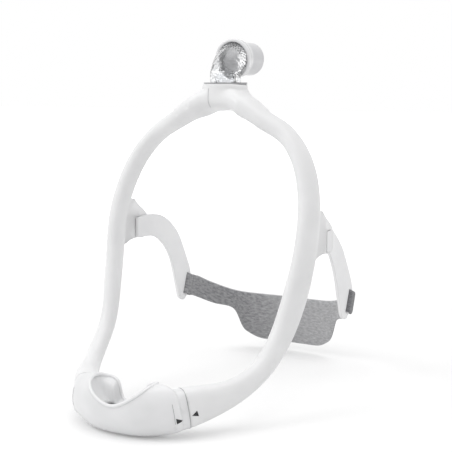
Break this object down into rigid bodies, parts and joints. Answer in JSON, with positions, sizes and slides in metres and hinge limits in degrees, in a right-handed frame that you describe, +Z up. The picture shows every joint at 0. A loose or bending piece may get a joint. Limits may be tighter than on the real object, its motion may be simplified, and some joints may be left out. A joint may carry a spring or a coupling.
{
  "type": "nasal cpap mask",
  "caption": "Under-nose breathing mask: hollow head frame with a swivel elbow at the crown, nasal cushion, side arms and fabric back strap.",
  "frame": {"origin": "on the ground under the middle of the mask's overall box, with the mask standing on its cushion", "axes": "+X across the face, +Y from the cushion towards the back strap, +Z up to the crown"},
  "size_m": [0.1552, 0.2329, 0.2306],
  "materials": {
    "frame_silicone": "translucent satin silicone",
    "socket_plastic": "satin",
    "clear_plastic": "clear polished plastic",
    "seal_rubber": "satin",
    "white_plastic": "gloss",
    "cuff_plastic": "satin",
    "cushion_silicone": "translucent satin silicone",
    "arm_plastic": "translucent satin",
    "knit_fabric": "knitted",
    "hook_fabric": "hook tape"
  },
  "bodies": {
    "mask_body": {"frame": "frame_silicone", "crown_socket_ring": "socket_plastic", "nasal_cushion": "cushion_silicone", "arm_right": "arm_plastic", "arm_left": "arm_plastic", "back_strap": "knit_fabric", "hook_tab_left": "hook_fabric", "hook_tab_right": "hook_fabric"},
    "elbow": {"elbow_body": "clear_plastic", "elbow_seal": "seal_rubber", "collar_ring": "white_plastic"},
    "cuff": {"hose_cuff": "cuff_plastic"},
    "tab_right": {"release_tab_right": "clear_plastic"},
    "tab_left": {"release_tab_left": "clear_plastic"}
  },
  "joints": [
    {"name": "elbow_swivel", "type": "hinge", "parent": "mask_body", "child": "elbow", "pos_m": [0, 0.01675, 0.201], "axis": [0, 0, 1], "continuous": true},
    {"name": "cuff_swivel", "type": "hinge", "parent": "elbow", "child": "cuff", "pos_m": [0, 0.03675, 0.218], "axis": [0, 1, 0], "continuous": true},
    {"name": "tab_right_press", "type": "hinge", "parent": "elbow", "child": "tab_right", "pos_m": [0.0099, 0.01675, 0.2072], "axis": [0, 1, 0], "range_deg": [0, 6], "stiffness_Nm_per_rad": 0.6},
    {"name": "tab_left_press", "type": "hinge", "parent": "elbow", "child": "tab_left", "pos_m": [-0.0099, 0.01675, 0.2072], "axis": [0, -1, 0], "range_deg": [0, 6], "stiffness_Nm_per_rad": 0.6}
  ]
}
